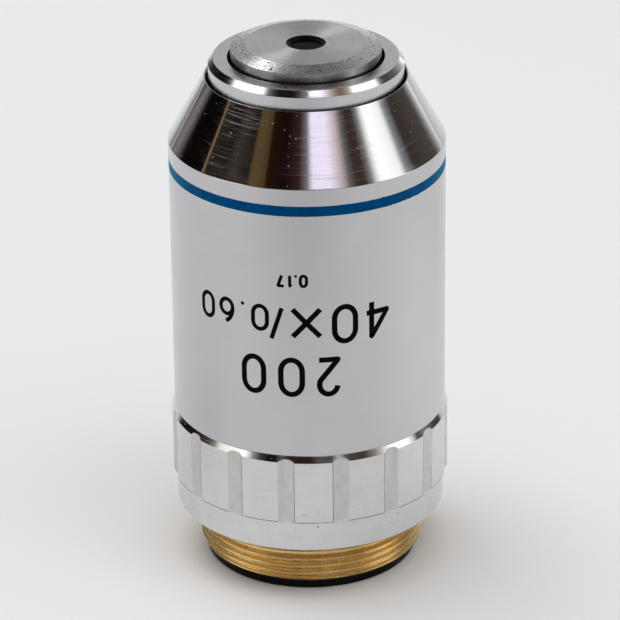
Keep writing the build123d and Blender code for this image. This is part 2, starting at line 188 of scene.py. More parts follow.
# Finishes; colours are linear
finishes = {
    "satinChrome": dict(
        colour=(0.57, 0.57, 0.575), dark=0.96, roughness=(0.21, 0.27), across=5.0, along=2.0, bump=0.00012,
        lineDepth=0.6, grainDepth=0.5, grain=14.0, cloud=0.25, pull=0.2, lineTone=0.5,
        specks=[(0.3, 0.1, (0.1, 0.1, 0.1), 0.6), (1.1, 0.05, (0.28, 0.27, 0.26), 0.5)]),
    "gripChrome": dict(
        colour=(0.68, 0.678, 0.672), dark=0.94, roughness=(0.22, 0.3), across=4.0, along=4.0, bump=0.00012,
        lineDepth=0.4, grainDepth=0.25, cloud=0.5, pull=0.2, lineTone=0.3,
        specks=[(0.7, 0.15, (0.1, 0.095, 0.09), 0.6), (1.5, 0.07, (0.26, 0.25, 0.23), 0.5)], seed=5),
    "fluteChrome": dict(
        colour=(0.625, 0.618, 0.6), dark=0.86, roughness=(0.26, 0.38), across=0.5, along=110.0, bump=0.0004,
        lineDepth=0.9, grainDepth=0.5, grain=8.0, cloud=1.2, lineTone=0.6,
        specks=[(1.1, 0.08, (0.22, 0.2, 0.17), 0.6)], seed=12),
    "polishedChrome": dict(
        colour=(0.68, 0.68, 0.69), dark=0.97, roughness=(0.03, 0.1), across=11.0, along=2.2, bump=0.00016,
        lineDepth=0.9, grainDepth=0.05, grain=3.0, cloud=0.4, lineTone=0.85, scratches=(26.0, 2.4),
        scratchRough=0.12, scratchDepth=0.3,
        specks=[(1.9, 0.065, (0.8, 0.8, 0.8), 0.9), (2.9, 0.045, (0.75, 0.75, 0.75), 0.8)], seed=4),
    "turnedSteel": dict(
        colour=(0.6, 0.605, 0.6), dark=0.82, roughness=(0.3, 0.37), across=9.0, along=0.5, bump=0.0003,
        lineDepth=0.8, grainDepth=0.25, grain=12.0, cloud=0.5, pull=0.88, lineTone=0.6),
    "mottledSteel": dict(
        colour=(0.66, 0.665, 0.67), dark=0.5, roughness=(0.2, 0.31), across=7.0, along=9.0, bump=0.009,
        lineDepth=0.3, grainDepth=1.0, grain=6.0, cloud=5.0, pull=0.6, lineTone=0.1,
        specks=[(3.5, 0.13, (0.16, 0.16, 0.17), 0.5)], seed=15),
    "wallSteel": dict(
        colour=(0.36, 0.36, 0.35), dark=0.75, roughness=(0.24, 0.34), across=6.0, along=5.0, bump=0.0004, cloud=1.2,
        pull=0.3, seed=7),
    "satinNose": dict(
        colour=(0.6, 0.6, 0.61), dark=0.95, roughness=(0.22, 0.3), across=8.0, along=1.2, bump=0.0003,
        lineDepth=0.6, grainDepth=0.4, grain=12.0, cloud=0.5, pull=0.4, specks=[(1.0, 0.08, (0.2, 0.2, 0.2), 0.6)],
        seed=9),
    "bareBrass": dict(
        colour=(0.76, 0.545, 0.245), dark=0.84, roughness=(0.23, 0.31), across=2.0, along=3.0, bump=0.0001,
        grainDepth=0.5, grain=6.0, cloud=0.9, lineTone=0.25),
    "blackOxide": dict(
        colour=(0.012, 0.012, 0.013), dark=0.7, roughness=(0.34, 0.5), across=8.0, along=1.5, bump=0.0006,
        lineDepth=0.6, grainDepth=0.5, cloud=0.6),
    # painted shade: a dark finish for the thin line under the grip's lower edge and for one corner of each flute
    "paintedEdgeShade": dict(
        colour=(0.3, 0.3, 0.31), dark=0.55, roughness=(0.35, 0.55), across=3.0, along=9.0, bump=0.001, cloud=1.6,
        lineTone=0.2),
    "springSteel": dict(
        colour=(0.42, 0.42, 0.43), dark=0.8, roughness=(0.25, 0.4), across=10.0, along=9.0, bump=0.0008),
}
metal = {name: turnedMetal(name, look) for name, look in finishes.items()}


def bandEnamel():
    # clear blue over bright metal
    look = {"colour": (0.0008, 0.064, 0.198), "deep": (0.0006, 0.05, 0.158), "roughness": 0.27}
    material, tree, shader = newMaterial("bandEnamel", look["colour"])
    place = turnedPlace(tree)[0]
    cloud = noise(tree, place, 0.9, 3.0)
    feed(tree, shader, {
        "Base Color": mixed(tree, spread(tree, cloud, 0.35, 0.65), look["deep"], look["colour"]),
        "Roughness": spread(tree, cloud, 0.3, 0.7, look["roughness"], look["roughness"] + 0.1),
        "Metallic": 0.8, "IOR": 1.3, "Specular Tint": (0.05, 0.8, 0.95, 1.0),
        "Normal": relief(tree, noise(tree, place, 5.0), 0.002),
    })
    return material


def letterPaint():
    material, tree, shader = newMaterial("letterPaint", (0.003, 0.003, 0.004))
    place = turnedPlace(tree)[0]
    wear = noise(tree, place, 6.0, 3.0)
    feed(tree, shader, {
        "Base Color": mixed(tree, spread(tree, wear, 0.45, 0.7), (0.001, 0.001, 0.0015), (0.003, 0.003, 0.0035)),
        "Roughness": spread(tree, wear, 0.3, 0.7, 0.55, 0.75), "Specular IOR Level": 0.04,
        "Normal": relief(tree, noise(tree, place, 12.0), 0.003),
    })
    return material


def coatedGlass():
    # its coating mirrors little, even at a slant
    material, tree, shader = newMaterial("coatedGlass", (0.9, 0.9, 0.95))
    haze = noise(tree, turnedPlace(tree)[0], 0.8, 2.0)
    feed(tree, shader, {
        "Base Color": mixed(tree, haze, (0.36, 0.24, 0.32), (0.46, 0.3, 0.4)), "IOR": 1.07,
        "Roughness": spread(tree, haze, 0.3, 0.7, 0.0, 0.03), "Transmission Weight": 1.0,
        "Specular Tint": (0.9, 0.45, 0.7, 1.0),
    })
    return material


metal["bandEnamel"], paint, glass = bandEnamel(), letterPaint(), coatedGlass()
print("finishes made")


def show(name, data):
    piece = bpy.data.objects.new(name, data)
    bpy.context.collection.objects.link(piece)
    return piece


def primitive(name, make, **sizes):
    mesh, work = bpy.data.meshes.new(name), bmesh.new()
    make(work, **sizes)
    work.to_mesh(mesh)
    work.free()
    return mesh


def settled(piece):
    # the mesh that a piece's modifiers make
    bpy.context.view_layer.update()
    return bpy.data.meshes.new_from_object(piece.evaluated_get(bpy.context.evaluated_depsgraph_get()))


def polyline(name, places, closed=False):
    # a curve through places in millimetres
    curve = bpy.data.curves.new(name, "CURVE")
    curve.dimensions = "3D"
    line = curve.splines.new("POLY")
    line.use_cyclic_u = closed
    line.points.add(len(places) - 1)
    for point, place in zip(line.points, places):
        point.co = (*(part * mm for part in place), 1.0)
    return show(name, curve)


def newGroup(name, values):
    # a Geometry Nodes group with its number inputs
    tree = bpy.data.node_groups.new(name, "GeometryNodeTree")
    for side in ("INPUT", "OUTPUT"):
        tree.interface.new_socket("Geometry", in_out=side, socket_type="NodeSocketGeometry")
    for label, value in values.items():
        tree.interface.new_socket(label, in_out="INPUT", socket_type="NodeSocketFloat").default_value = value
    return tree, put(tree, "NodeGroupInput").outputs


def pointPlace(tree):
    place = put(tree, "GeometryNodeInputPosition").outputs[0]
    return put(tree, "ShaderNodeSeparateXYZ", {0: place}).outputs


def closeGroup(tree, geometry, material, **chosen):
    real = put(tree, "GeometryNodeRealizeInstances", {0: geometry})
    shaded = put(tree, "GeometryNodeSetMaterial", {"Geometry": real.outputs[0], "Material": material, **chosen})
    put(tree, "NodeGroupOutput", {0: shaded.outputs[0]})
    return tree


def soften(outline):
    # rounds the corners of a closed outline of (distance, height, corner size) and keeps the flats flat beside them
    points, count = [], len(outline)
    for index, (r, z, size) in enumerate(outline):
        here = Vector((r, z))
        back, on = (Vector(outline[(index + step) % count][:2]) - here for step in (-1, 1))
        size = min(size, back.length * 0.4, on.length * 0.4)
        if size <= 0.0:
            points.append(here)
            continue
        start, end = here + back.normalized() * size, here + on.normalized() * size
        points.append(here + back.normalized() * size * 1.15)
        for step in range(5):
            t = step / 4
            points.append(start * (1 - t) ** 2 + here * 2 * t * (1 - t) + end * t**2)
        points.append(here + on.normalized() * size * 1.15)
    return points


def evenAngles(count):
    return [2 * math.pi * i / count for i in range(count)]


def turn(name, outline, looks, rule=None, angles=None, shape=None):
    # spins a closed outline in millimetres round the axis; rule(r, z) picks the look of a face
    usualColumns = 320
    angles = angles or evenAngles(usualColumns)
    points = soften(outline)
    rows, around = len(points), len(angles)
    verts = []
    for angle in angles:
        for point in points:
            r, z = shape(*point, angle) if shape else point
            verts.append((r * math.cos(angle) * mm, r * math.sin(angle) * mm, z * mm))
    faces, shades = [], []
    for j in range(around):
        for i in range(rows):
            a, b = j * rows, ((j + 1) % around) * rows
            faces.append((a + i, b + i, b + (i + 1) % rows, a + (i + 1) % rows))
            middle = (points[i] + points[(i + 1) % rows]) / 2
            shades.append(rule(*middle) if rule else 0)
    mesh = bpy.data.meshes.new(name)
    mesh.from_pydata(verts, [], faces)
    for look in looks:
        mesh.materials.append(metal[look])
    mesh.polygons.foreach_set("material_index", shades)
    return finishMesh(name, mesh, 40)


def finishMesh(name, mesh, sharp):
    # closes doubles, turns the faces outwards, and leaves only real corners sharp
    work = bmesh.new()
    work.from_mesh(mesh)
    bmesh.ops.remove_doubles(work, verts=work.verts, dist=1e-8)
    bmesh.ops.recalc_face_normals(work, faces=work.faces)
    work.to_mesh(mesh)
    work.free()
    mesh.polygons.foreach_set("use_smooth", [True] * len(mesh.polygons))
    mesh.set_sharp_from_angle(angle=math.radians(sharp))
    return show(name, mesh)


def dress(piece, body, slot, *nodes):
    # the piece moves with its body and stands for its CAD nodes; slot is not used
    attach(piece, body)
    if nodes:
        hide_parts(*nodes)


def facing(elevation, azimuth=0.0):
    # turned towards the object from that side of the camera's
    turned = (math.pi / 2 - math.radians(elevation), 0.0, math.radians(viewAzimuth + azimuth))
    return Euler(turned).to_matrix()


def stageCamera():
    # the aim is turned by a few hundredths of a degree to put the axis where the picture has it
    aim = dict(height=22.0, distance=357.7, elevation=25.35, focalPixels=3945.8, axisAt=(308.8, 323.7), roll=-0.643,
               pixels=620.0, sensor=36.0, clip=(0.01, 20.0))
    across, drop = (math.atan2(pixel - aim["pixels"] / 2, aim["focalPixels"]) for pixel in aim["axisAt"])
    turnTo = facing(aim["elevation"])
    back = turnTo @ Vector((0.0, 0.0, 1.0))
    turnTo = turnTo @ Matrix.Rotation(across, 3, "Y") @ Matrix.Rotation(drop, 3, "X")
    turnTo = turnTo @ Matrix.Rotation(math.radians(aim["roll"]), 3, "Z")
    data = bpy.data.cameras.new("studioCamera")
    data.sensor_width, data.sensor_fit = aim["sensor"], "HORIZONTAL"
    data.lens = aim["focalPixels"] / aim["pixels"] * aim["sensor"]
    data.clip_start, data.clip_end = aim["clip"]
    camera = show("studioCamera", data)
    spot = (Vector((0.0, 0.0, aim["height"])) + back * aim["distance"]) * mm
    camera.matrix_world = Matrix.Translation(spot) @ turnTo.to_4x4()
    bpy.context.scene.camera = camera


def stageFloor():
    look = {"radius": 2.4, "drop": 0.00002, "colour": (0.8, 0.8, 0.805), "roughness": 0.75,
            # soft spots of painted shade and painted light on the floor, which only the metal mirrors: ahead, right,
            # radius (all in metres), strength, tone
            "mirroredShadeAndLight": [(0.14, -0.008, 0.115, 0.28, 0.0), (0.006, -0.044, 0.024, 0.12, 0.0),
                        (-0.005, 0.06, 0.055, 0.8, 0.95), (-0.38, -0.32, 0.32, 0.85, 0.1)]}
    mesh = primitive("floor", bmesh.ops.create_circle, cap_ends=True, radius=look["radius"], segments=96)
    mesh.transform(Matrix.Translation((0.0, 0.0, -look["drop"])))
    floor = show("floor", mesh)
    material, tree, shader = newMaterial("paperFloor", look["colour"])
    place = put(tree, "ShaderNodeTexCoord").outputs["Object"]
    colour = mixed(tree, noise(tree, place, 9.0, 3.0), look["colour"], tuple(c * 0.985 for c in look["colour"]))
    mirrored = put(tree, "ShaderNodeLightPath").outputs["Is Glossy Ray"]
    # a spot of tone 0 is painted shade and a pale spot is painted light, both seen only in reflections
    for ahead, right, radius, strength, tone in look["mirroredShadeAndLight"]:
        middle = (ahead * sine + right * cosine, right * sine - ahead * cosine, 0.0)
        away = vectors(tree, "LENGTH", vectors(tree, "SUBTRACT", place, middle))
        share = sums(tree, "MULTIPLY", spread(tree, away, 0.0, radius, strength, 0.0, True), mirrored)
        colour = mixed(tree, share, colour, (tone, tone, tone))
    feed(tree, shader, {"Base Color": colour, "Roughness": look["roughness"], "Specular IOR Level": 0.25})
    under = put(tree, "ShaderNodeNewGeometry").outputs["Backfacing"]  # a camera below the floor sees through it
    clear = put(tree, "ShaderNodeBsdfTransparent")
    blend = put(tree, "ShaderNodeMixShader", {0: under, 1: shader.outputs[0], 2: clear.outputs[0]})
    feed(tree, tree.nodes["Material Output"], {"Surface": blend.outputs[0]})
    mesh.materials.append(material)


def colourRamp(tree, share, stops, peak):
    # stops are (place from 0 to 1, colour); a ramp stops at 1, so its colours are divided by the peak
    node = put(tree, "ShaderNodeValToRGB", {0: share})
    keys = node.color_ramp.elements
    while len(keys) < len(stops):
        keys.new(0.5)
    for key, (place, colour) in zip(keys, stops):
        key.position = place
    for key, (place, colour) in zip(keys, stops):
        key.color = (*(part / peak for part in colour), 1.0)
    return node.outputs[0]


def stageRoom():
    # what the polished metal mirrors: windows, dark furniture and walls, seen by reflections only.
    # Each band runs round the room by angle from the camera, to the right of it; its heights shift with the angle.
    black, night, dusk = (0.003, 0.002, 0.002), (0.012, 0.009, 0.009), (0.03, 0.02, 0.015)
    maroon, brown, tan, gold = (0.01, 0.004, 0.004), (0.05, 0.035, 0.028), (0.125, 0.075, 0.032), (0.42, 0.25, 0.12)
    lilac, rose, grey = (1.25, 1.15, 1.35), (0.72, 0.57, 0.58), (0.45, 0.45, 0.46)
    day, sun, dim, haze = (1.6, 1.6, 1.57), (2.2, 2.2, 2.16), (0.16, 0.15, 0.15), (0.07, 0.055, 0.05)
    bands = {
        "low": [(-142, (0.08, 0.08, 0.08)), (-136, (0.15, 0.15, 0.15)), (-130, (0.035, 0.035, 0.03)), (-120, black),
                (-108, night), (-98, dusk), (-91, haze), (-84.5, (0.25, 0.24, 0.22)), (-78, (1.2, 1.2, 1.1)),
                (-56, day), (-49, (0.35, 0.36, 0.34)), (-43, haze), (-36, night), (-30, night),
                (-24, (0.12, 0.12, 0.12)), (-18, dusk), (0, dusk), (8, (0.11, 0.095, 0.095)),
                (18, (0.09, 0.08, 0.08)), (24, (0.58, 0.56, 0.62)), (30, (0.09, 0.08, 0.08)),
                (46, (0.07, 0.05, 0.04)), (55.5, (0.36, 0.3, 0.26)), (63, (0.85, 0.87, 0.87)), (70, day), (85, day),
                (91, (0.9, 0.9, 0.82)), (96, (0.06, 0.07, 0.08)), (104, (0.27, 0.28, 0.27)),
                (117, (0.08, 0.07, 0.065)), (130, (0.06, 0.06, 0.05))],
        "middle": [(-141, dim), (-133, (0.27, 0.23, 0.25)), (-122, night), (-118, black), (-95.2, black),
                   (-94.8, gold), (-93.8, gold), (-93.2, dusk), (-76, night), (-68, brown), (-53.0, night),
                   (-51.0, tan), (-41, tan), (-40.5, night), (-39.3, tan), (-36, (0.02, 0.007, 0.003)),
                   (-20, maroon), (-7, (0.05, 0.02, 0.016)), (0, (0.24, 0.19, 0.23)), (5, lilac), (20, lilac),
                   (31, rose), (37, dim), (43, brown), (51, brown), (57, (0.27, 0.25, 0.25)),
                   (62, (1.15, 1.15, 1.12)), (66, day), (84, (1.3, 1.3, 1.27)), (89, (0.3, 0.33, 0.35)),
                   (98, brown)],
        "high": [(-152, (0.16, 0.16, 0.17)), (-147, haze), (-140, dusk), (-125, night), (-112, night), (-107, dim),
                 (-103, (1.2, 1.2, 1.2)), (-100, sun), (-66, sun), (-61, (0.7, 0.7, 0.68)), (-57, (0.2, 0.2, 0.19)),
                 (-50, haze), (-42, night), (-22, night), (-14, brown), (-7, dim), (2, (0.3, 0.26, 0.28)),
                 (6, (1.75, 1.7, 1.74)), (22, (1.6, 1.5, 1.7)), (30, (1.0, 0.95, 1.1)), (37, (0.68, 0.55, 0.54)),
                 (45, (0.36, 0.28, 0.24)), (51, (0.25, 0.14, 0.1)), (57, (0.35, 0.24, 0.19)),
                 (64, (0.6, 0.55, 0.46)), (69, day), (99, day), (103, grey), (106, dim), (110, haze), (130, dim)],
        "ceiling": [(-180, grey), (-80, grey), (-62, dim), (-50, night), (-10, dusk), (5, (0.08, 0.07, 0.07)),
                    (30, haze), (50, haze), (62, dim), (80, grey), (165, grey)],
    }
    lamp = dict(azimuth=-156.0, elevation=48.8, inner=2.0, outer=7.0, colour=(2.65, 2.65, 2.7))
    # the far side, behind the object, fades upwards: elevation and brightness
    farSide = [(-8, 1.7), (1, 1.5), (6, 0.85), (10, 0.68), (16, 0.6), (25, 0.6), (37, 0.6), (45, 0.44),
               (50, 0.2), (56, 0.09), (90, 0.24)]
    peak = 2.7  # the brightest that a ramp holds, by which the light is multiplied again
    # where a band ends and the next starts: elevation straight ahead, and how fast it falls to the sides
    steps = [("middle", 33.0, 18.6), ("high", 43.5, 22.0), ("ceiling", 61.0, 20.0)]
    softStep, behindFrom = 0.8, ((124.0, 154.0), (-158.0, -180.0))
    centre, size = (0.0, 0.0, 0.022), 0.9  # metres
    dome = show("room", primitive("room", bmesh.ops.create_uvsphere, u_segments=96, v_segments=64, radius=size))
    material = bpy.data.materials.new("roomLight")
    material.use_nodes = True
    tree = material.node_tree
    tree.nodes.clear()
    calc, plus, minus, times = maths(tree)
    place = put(tree, "ShaderNodeTexCoord").outputs["Object"]
    parts = put(tree, "ShaderNodeSeparateXYZ", {0: vectors(tree, "SUBTRACT", place, centre)}).outputs
    ahead = plus(times(parts[0], sine), times(parts[1], -cosine))
    right = plus(times(parts[0], cosine), times(parts[1], sine))
    degree = 180.0 / math.pi
    azimuth = times(calc("ARCTAN2", right, ahead), degree)
    level = calc("SQRT", plus(times(ahead, ahead), times(right, right)))
    elevation = times(calc("ARCTAN2", parts[2], level), degree)
    hundredth = times(azimuth, 0.01)
    fall = times(hundredth, hundredth)
    share = calc("MULTIPLY_ADD", azimuth, 1.0 / 360.0, 0.5)
    colours = {}
    for name, stops in bands.items():
        stops = [((angle + 180.0) / 360.0, colour) for angle, colour in (*stops, (180, stops[0][1]))]
        colours[name] = colourRamp(tree, share, stops, peak)
    seen = colours["low"]
    for upper, middle, slope in steps:
        above = minus(elevation, calc("MULTIPLY_ADD", fall, -slope, middle))
        seen = mixed(tree, spread(tree, above, -softStep, softStep, 0.0, 1.0, True), seen, colours[upper])
    stops = [((angle + 10.0) / 100.0, (tone, tone, tone * 1.01)) for angle, tone in farSide]
    wall = colourRamp(tree, spread(tree, elevation, -10.0, 90.0), stops, peak)
    behind = calc("MAXIMUM", *(spread(tree, azimuth, *ends, 0.0, 1.0, True) for ends in behindFrom))
    seen = mixed(tree, behind, seen, wall)
    up, around = math.radians(lamp["elevation"]), math.radians(lamp["azimuth"])
    toLamp = [math.cos(up) * math.cos(around), math.cos(up) * math.sin(around), math.sin(up)]
    here = put(tree, "ShaderNodeCombineXYZ", {0: ahead, 1: right, 2: parts[2]}).outputs[0]
    near = vectors(tree, "DOT_PRODUCT", vectors(tree, "NORMALIZE", here), toLamp)
    outer, inner = (math.cos(math.radians(lamp[edge])) for edge in ("outer", "inner"))
    seen = mixed(tree, spread(tree, near, outer, inner, 0.0, 1.0, True), seen, lamp["colour"])
    light = put(tree, "ShaderNodeEmission", {0: seen, 1: peak})
    put(tree, "ShaderNodeOutputMaterial", {0: light.outputs[0]}).is_active_output = True
    material.cycles.emission_sampling = "NONE"
    dome.data.materials.append(material)
    dome.visible_camera = dome.visible_diffuse = dome.visible_shadow = False


def stageLight():
    lamps = {
        "windowLamp": dict(azimuth=-125.0, elevation=48.0, distance=0.8, size=0.6, power=1.0),
        "ceilingLamp": dict(azimuth=-100.0, elevation=80.0, distance=0.9, size=0.6, power=2.5),
        "frontLamp": dict(azimuth=40.0, elevation=60.0, distance=0.9, size=0.6, power=1.3),
        "fillLamp": dict(azimuth=75.0, elevation=45.0, distance=0.9, size=0.7, power=0.7),
    }
    for name, lamp in lamps.items():
        data = bpy.data.lights.new(name, "AREA")
        data.shape, data.size, data.energy = "DISK", lamp["size"], lamp["power"]
        turnTo = facing(lamp["elevation"], lamp["azimuth"])
        piece = show(name, data)
        piece.matrix_world = Matrix.Translation(turnTo @ Vector((0.0, 0.0, lamp["distance"]))) @ turnTo.to_4x4()
        piece.visible_glossy = False
    world = bpy.data.worlds.new("paleRoom")
    world.use_nodes = True
    world.node_tree.nodes["Background"].inputs[0].default_value = (0.5, 0.503, 0.51, 1.0)
    bpy.context.scene.world = world
    world.cycles_visibility.glossy = False


stageCamera()
stageFloor()
stageRoom()
stageLight()
print("studio set up")

# Sizes of the turned pieces in millimetres; the sleeve's foot and the grip's top lie lower than in the solids
sleeve = dict(
    bore=10.6, radius=12.32, foot=14.785, spigotTop=21.8, spigotBore=11.32, coneFoot=40.5, rim=46.4, hole=8.87,
    rimWidth=0.15, stop=41.5, bandFoot=38.02, bandTop=38.95, bandDepth=0.12,
)


def coverSleeve():
    s = Sizes(**sleeve)
    outline = [
        (s.spigotBore, s.foot, 0.05), (s.radius - 0.05, s.foot, 0.02), (s.radius, s.foot + 0.05, 0.03),
        (s.radius, s.bandFoot, 0.012), (s.radius - s.bandDepth, s.bandFoot, 0.012),
        (s.radius - s.bandDepth, s.bandTop, 0.012), (s.radius, s.bandTop, 0.012), (s.radius, s.coneFoot, 0.035),
        (s.hole + s.rimWidth, s.rim, 0.035), (s.hole + 0.1, s.rim, 0.02), (s.hole, s.rim - 0.1, 0.03),
        (s.hole, s.stop, 0.05), (s.bore, s.stop, 0.1), (s.bore, s.spigotTop, 0.05), (s.spigotBore, s.spigotTop, 0.05),
    ]

    def finish(r, z):
        if z > s.coneFoot and r > s.hole + 0.08:
            return 1
        return 2 if r < s.bore + 0.05 and z < s.rim - 0.3 else 0

    piece = turn("cover_sleeve_turned", outline, ("satinChrome", "polishedChrome", "blackOxide"), finish)
    dress(piece, mountBody, "sleeve_plating", "cover_sleeve")


def colourBand():
    # enamel in its groove; its edges creep a little over the plating
    s, creep = Sizes(**sleeve), 0.04
    middle = (s.bandFoot + s.bandTop) / 2
    waves = ((7, 0.4, 0.3), (23, 1.9, 0.25), (61, 4.1, 0.3), (137, 2.6, 0.35), (211, 0.9, 0.3))  # turns, phase, share

    def ragged(r, z, angle):
        above = z > middle
        lag = 1.7 if above else 0.0  # the two edges differ
        wander = sum(share * math.sin(turns * angle + phase + lag) for turns, phase, share in waves)
        if r > s.radius - 0.02:
            edge = creep * max(0.0, wander) ** 1.5
            z += edge if above else -edge
        return r, z

    top = s.radius + 0.004
    outline = [(s.radius - s.bandDepth, s.bandFoot, 0), (s.radius - 0.03, s.bandFoot, 0), (top, s.bandFoot, 0),
               (top, s.bandTop, 0), (s.radius - 0.03, s.bandTop, 0), (s.radius - s.bandDepth, s.bandTop, 0)]
    piece = turn("colour_band_enamel", outline, ("bandEnamel",), angles=evenAngles(900), shape=ragged)
    dress(piece, mountBody, "band_enamel", "colour_band")


coverSleeve()
colourBand()
print("sleeve and band made")

# Threaded mount: a turned blank whose thread and flutes are cut by Geometry Nodes
mount = dict(
    threadFoot=0.85, seat=4.9, gripFoot=8.2, gripTop=14.775, threadRadius=10.16, threadBore=8.86, threadFloor=9.3,
    collarRadius=12.18, collarBevel=0.42, gripRadius=12.58, gripBevel=0.555, gripBevelWidth=0.308,
    spigotRadius=11.3, spigotTop=21.5, guideBore=8.93, seatFloor=6.4, pitch=0.7056, threadDepth=0.4, leadIn=0.42,
    crestAtFront=1.783, runOut=3.547, runOutSlope=1.37, bareEdge=0.36, climbs=((0.9, 1.55), (3.53, 2.85)),
    shoulderFoot=4.25, flutes=16, fluteDepth=0.17, cutterRadius=2.1, fluteStart=-93.4, softEdge=0.02,
)


def fluteHalfAngle(m):
    centre = m.gripRadius - m.fluteDepth + m.cutterRadius
    cosine = (centre**2 + m.gripRadius**2 - m.cutterRadius**2) / (2 * centre * m.gripRadius)
    return math.acos(cosine), centre


def flutedAngles(m):
    # columns close together at the edges of the flutes
    half, period = fluteHalfAngle(m)[0], 2 * math.pi / m.flutes
    inside = [half * share for share in (-0.99, -0.9, -0.8, -0.6, -0.3, 0.0, 0.3, 0.6, 0.8, 0.9, 0.99)]
    land = [half * 1.02, half * 1.08, half * 1.2]
    rest = period - 2 * half * 1.2
    outside = land + [half * 1.2 + rest * i / 11 for i in range(1, 11)] + [period - angle for angle in reversed(land)]
    start = math.radians(m.fluteStart)
    return [start + period * i + angle for i in range(m.flutes) for angle in sorted(inside + outside)]


def cutterTree(m, material):
    values = {label: getattr(m, key) * mm for label, key in {
        "Pitch": "pitch", "Thread depth": "threadDepth", "Crest radius": "threadRadius", "Thread foot": "threadFoot",
        "Seat": "seat", "Lead-in": "leadIn", "Crest at front": "crestAtFront", "Run-out": "runOut",
        "Shoulder foot": "shoulderFoot", "Cutter radius": "cutterRadius", "Grip foot": "gripFoot",
        "Grip top": "gripTop", "Soft edge": "softEdge",
    }.items()}
    values["Flutes"], values["Flute start"] = float(m.flutes), math.radians(m.fluteStart)
    values["Cutter axis"] = fluteHalfAngle(m)[1] * mm
    tree, given = newGroup("threadAndFlutes", values)
    calc, plus, minus, times = maths(tree)
    touch, skin, reliefDepth = 1e-6, 0.00001, 0.0003  # metres: how near a limit still counts as on it
    crest, soft, seat = given["Crest radius"], given["Soft edge"], given["Seat"]
    x, y, z = pointPlace(tree)
    reach = calc("SQRT", plus(times(x, x), times(y, y)))
    angle = calc("ARCTAN2", y, x)
    # thread: a rounded V that climbs one pitch a turn, then a run-out groove and a shoulder below the seat
    climb = calc("DIVIDE", minus(z, given["Crest at front"]), given["Pitch"])
    climb = minus(climb, calc("MULTIPLY_ADD", angle, 0.5 / math.pi, 0.25))
    slope = calc("ABSOLUTE", calc("MULTIPLY_ADD", calc("FRACT", climb), 2.0, -1.0))
    valley = spread(tree, slope, 0.1, 0.88, 1.0, 0.0, True)
    valley = calc("MULTIPLY_ADD", valley, 0.45, times(spread(tree, slope, 0.0, 0.84, 1.0, 0.0), 0.55))
    threaded = minus(crest, times(valley, given["Thread depth"]))
    leadIn = plus(minus(crest, given["Lead-in"]), minus(z, given["Thread foot"]))
    threaded = calc("SMOOTH_MIN", threaded, leadIn, soft)
    below = times(minus(given["Run-out"], z), m.runOutSlope)
    above = minus(z, given["Shoulder foot"])
    groove = calc("MAXIMUM", calc("MAXIMUM", below, above), 0.0)
    groove = plus(minus(crest, given["Thread depth"]), groove)
    groove = calc("SMOOTH_MIN", groove, crest, soft)
    onRunOut = calc("GREATER_THAN", z, minus(given["Run-out"], 2 * skin))
    threaded = calc("SMOOTH_MIN", threaded, groove, soft)
    threaded = plus(times(onRunOut, groove), times(minus(1.0, onRunOut), threaded))
    # flutes: the same round cutter, set round the grip
    period = calc("DIVIDE", 2 * math.pi, given["Flutes"])
    fromFlute = calc("WRAP", minus(angle, given["Flute start"]), times(period, -0.5), times(period, 0.5))
    side = times(given["Cutter axis"], calc("SINE", fromFlute))
    ahead = times(given["Cutter axis"], calc("COSINE", fromFlute))
    inside = minus(times(given["Cutter radius"], given["Cutter radius"]), times(side, side))
    clear = calc("GREATER_THAN", 0.0, inside)
    cut = minus(ahead, calc("SQRT", calc("MAXIMUM", inside, 0.0)))
    cut = plus(cut, clear)
    fluted = calc("SMOOTH_MIN", reach, cut, soft)
    # each rule holds only on its own stretch of the blank
    onThread = times(calc("LESS_THAN", z, plus(seat, touch)), calc("GREATER_THAN", reach, minus(crest, reliefDepth)))
    onThread = times(onThread, calc("LESS_THAN", reach, plus(crest, skin)))
    aboveFoot = calc("GREATER_THAN", z, minus(given["Grip foot"], touch))
    onGrip = times(aboveFoot, calc("LESS_THAN", z, minus(given["Grip top"], touch)))
    onGrip = times(onGrip, calc("GREATER_THAN", reach, (m.collarRadius + 0.06) * mm))
    target = plus(times(onThread, threaded), times(onGrip, fluted))
    free = minus(1.0, plus(onThread, onGrip))
    target = calc("MULTIPLY_ADD", free, reach, target)
    scale = calc("DIVIDE", target, reach)
    moved = put(tree, "ShaderNodeCombineXYZ", {0: times(x, scale), 1: times(y, scale), 2: z})
    cutNode = put(tree, "GeometryNodeSetPosition", {"Geometry": given["Geometry"], "Position": moved.outputs[0]})
    # bare brass below the seating face, plated above it
    bare = calc("LESS_THAN", z, plus(seat, skin))
    return closeGroup(tree, cutNode.outputs[0], material, Selection=bare)


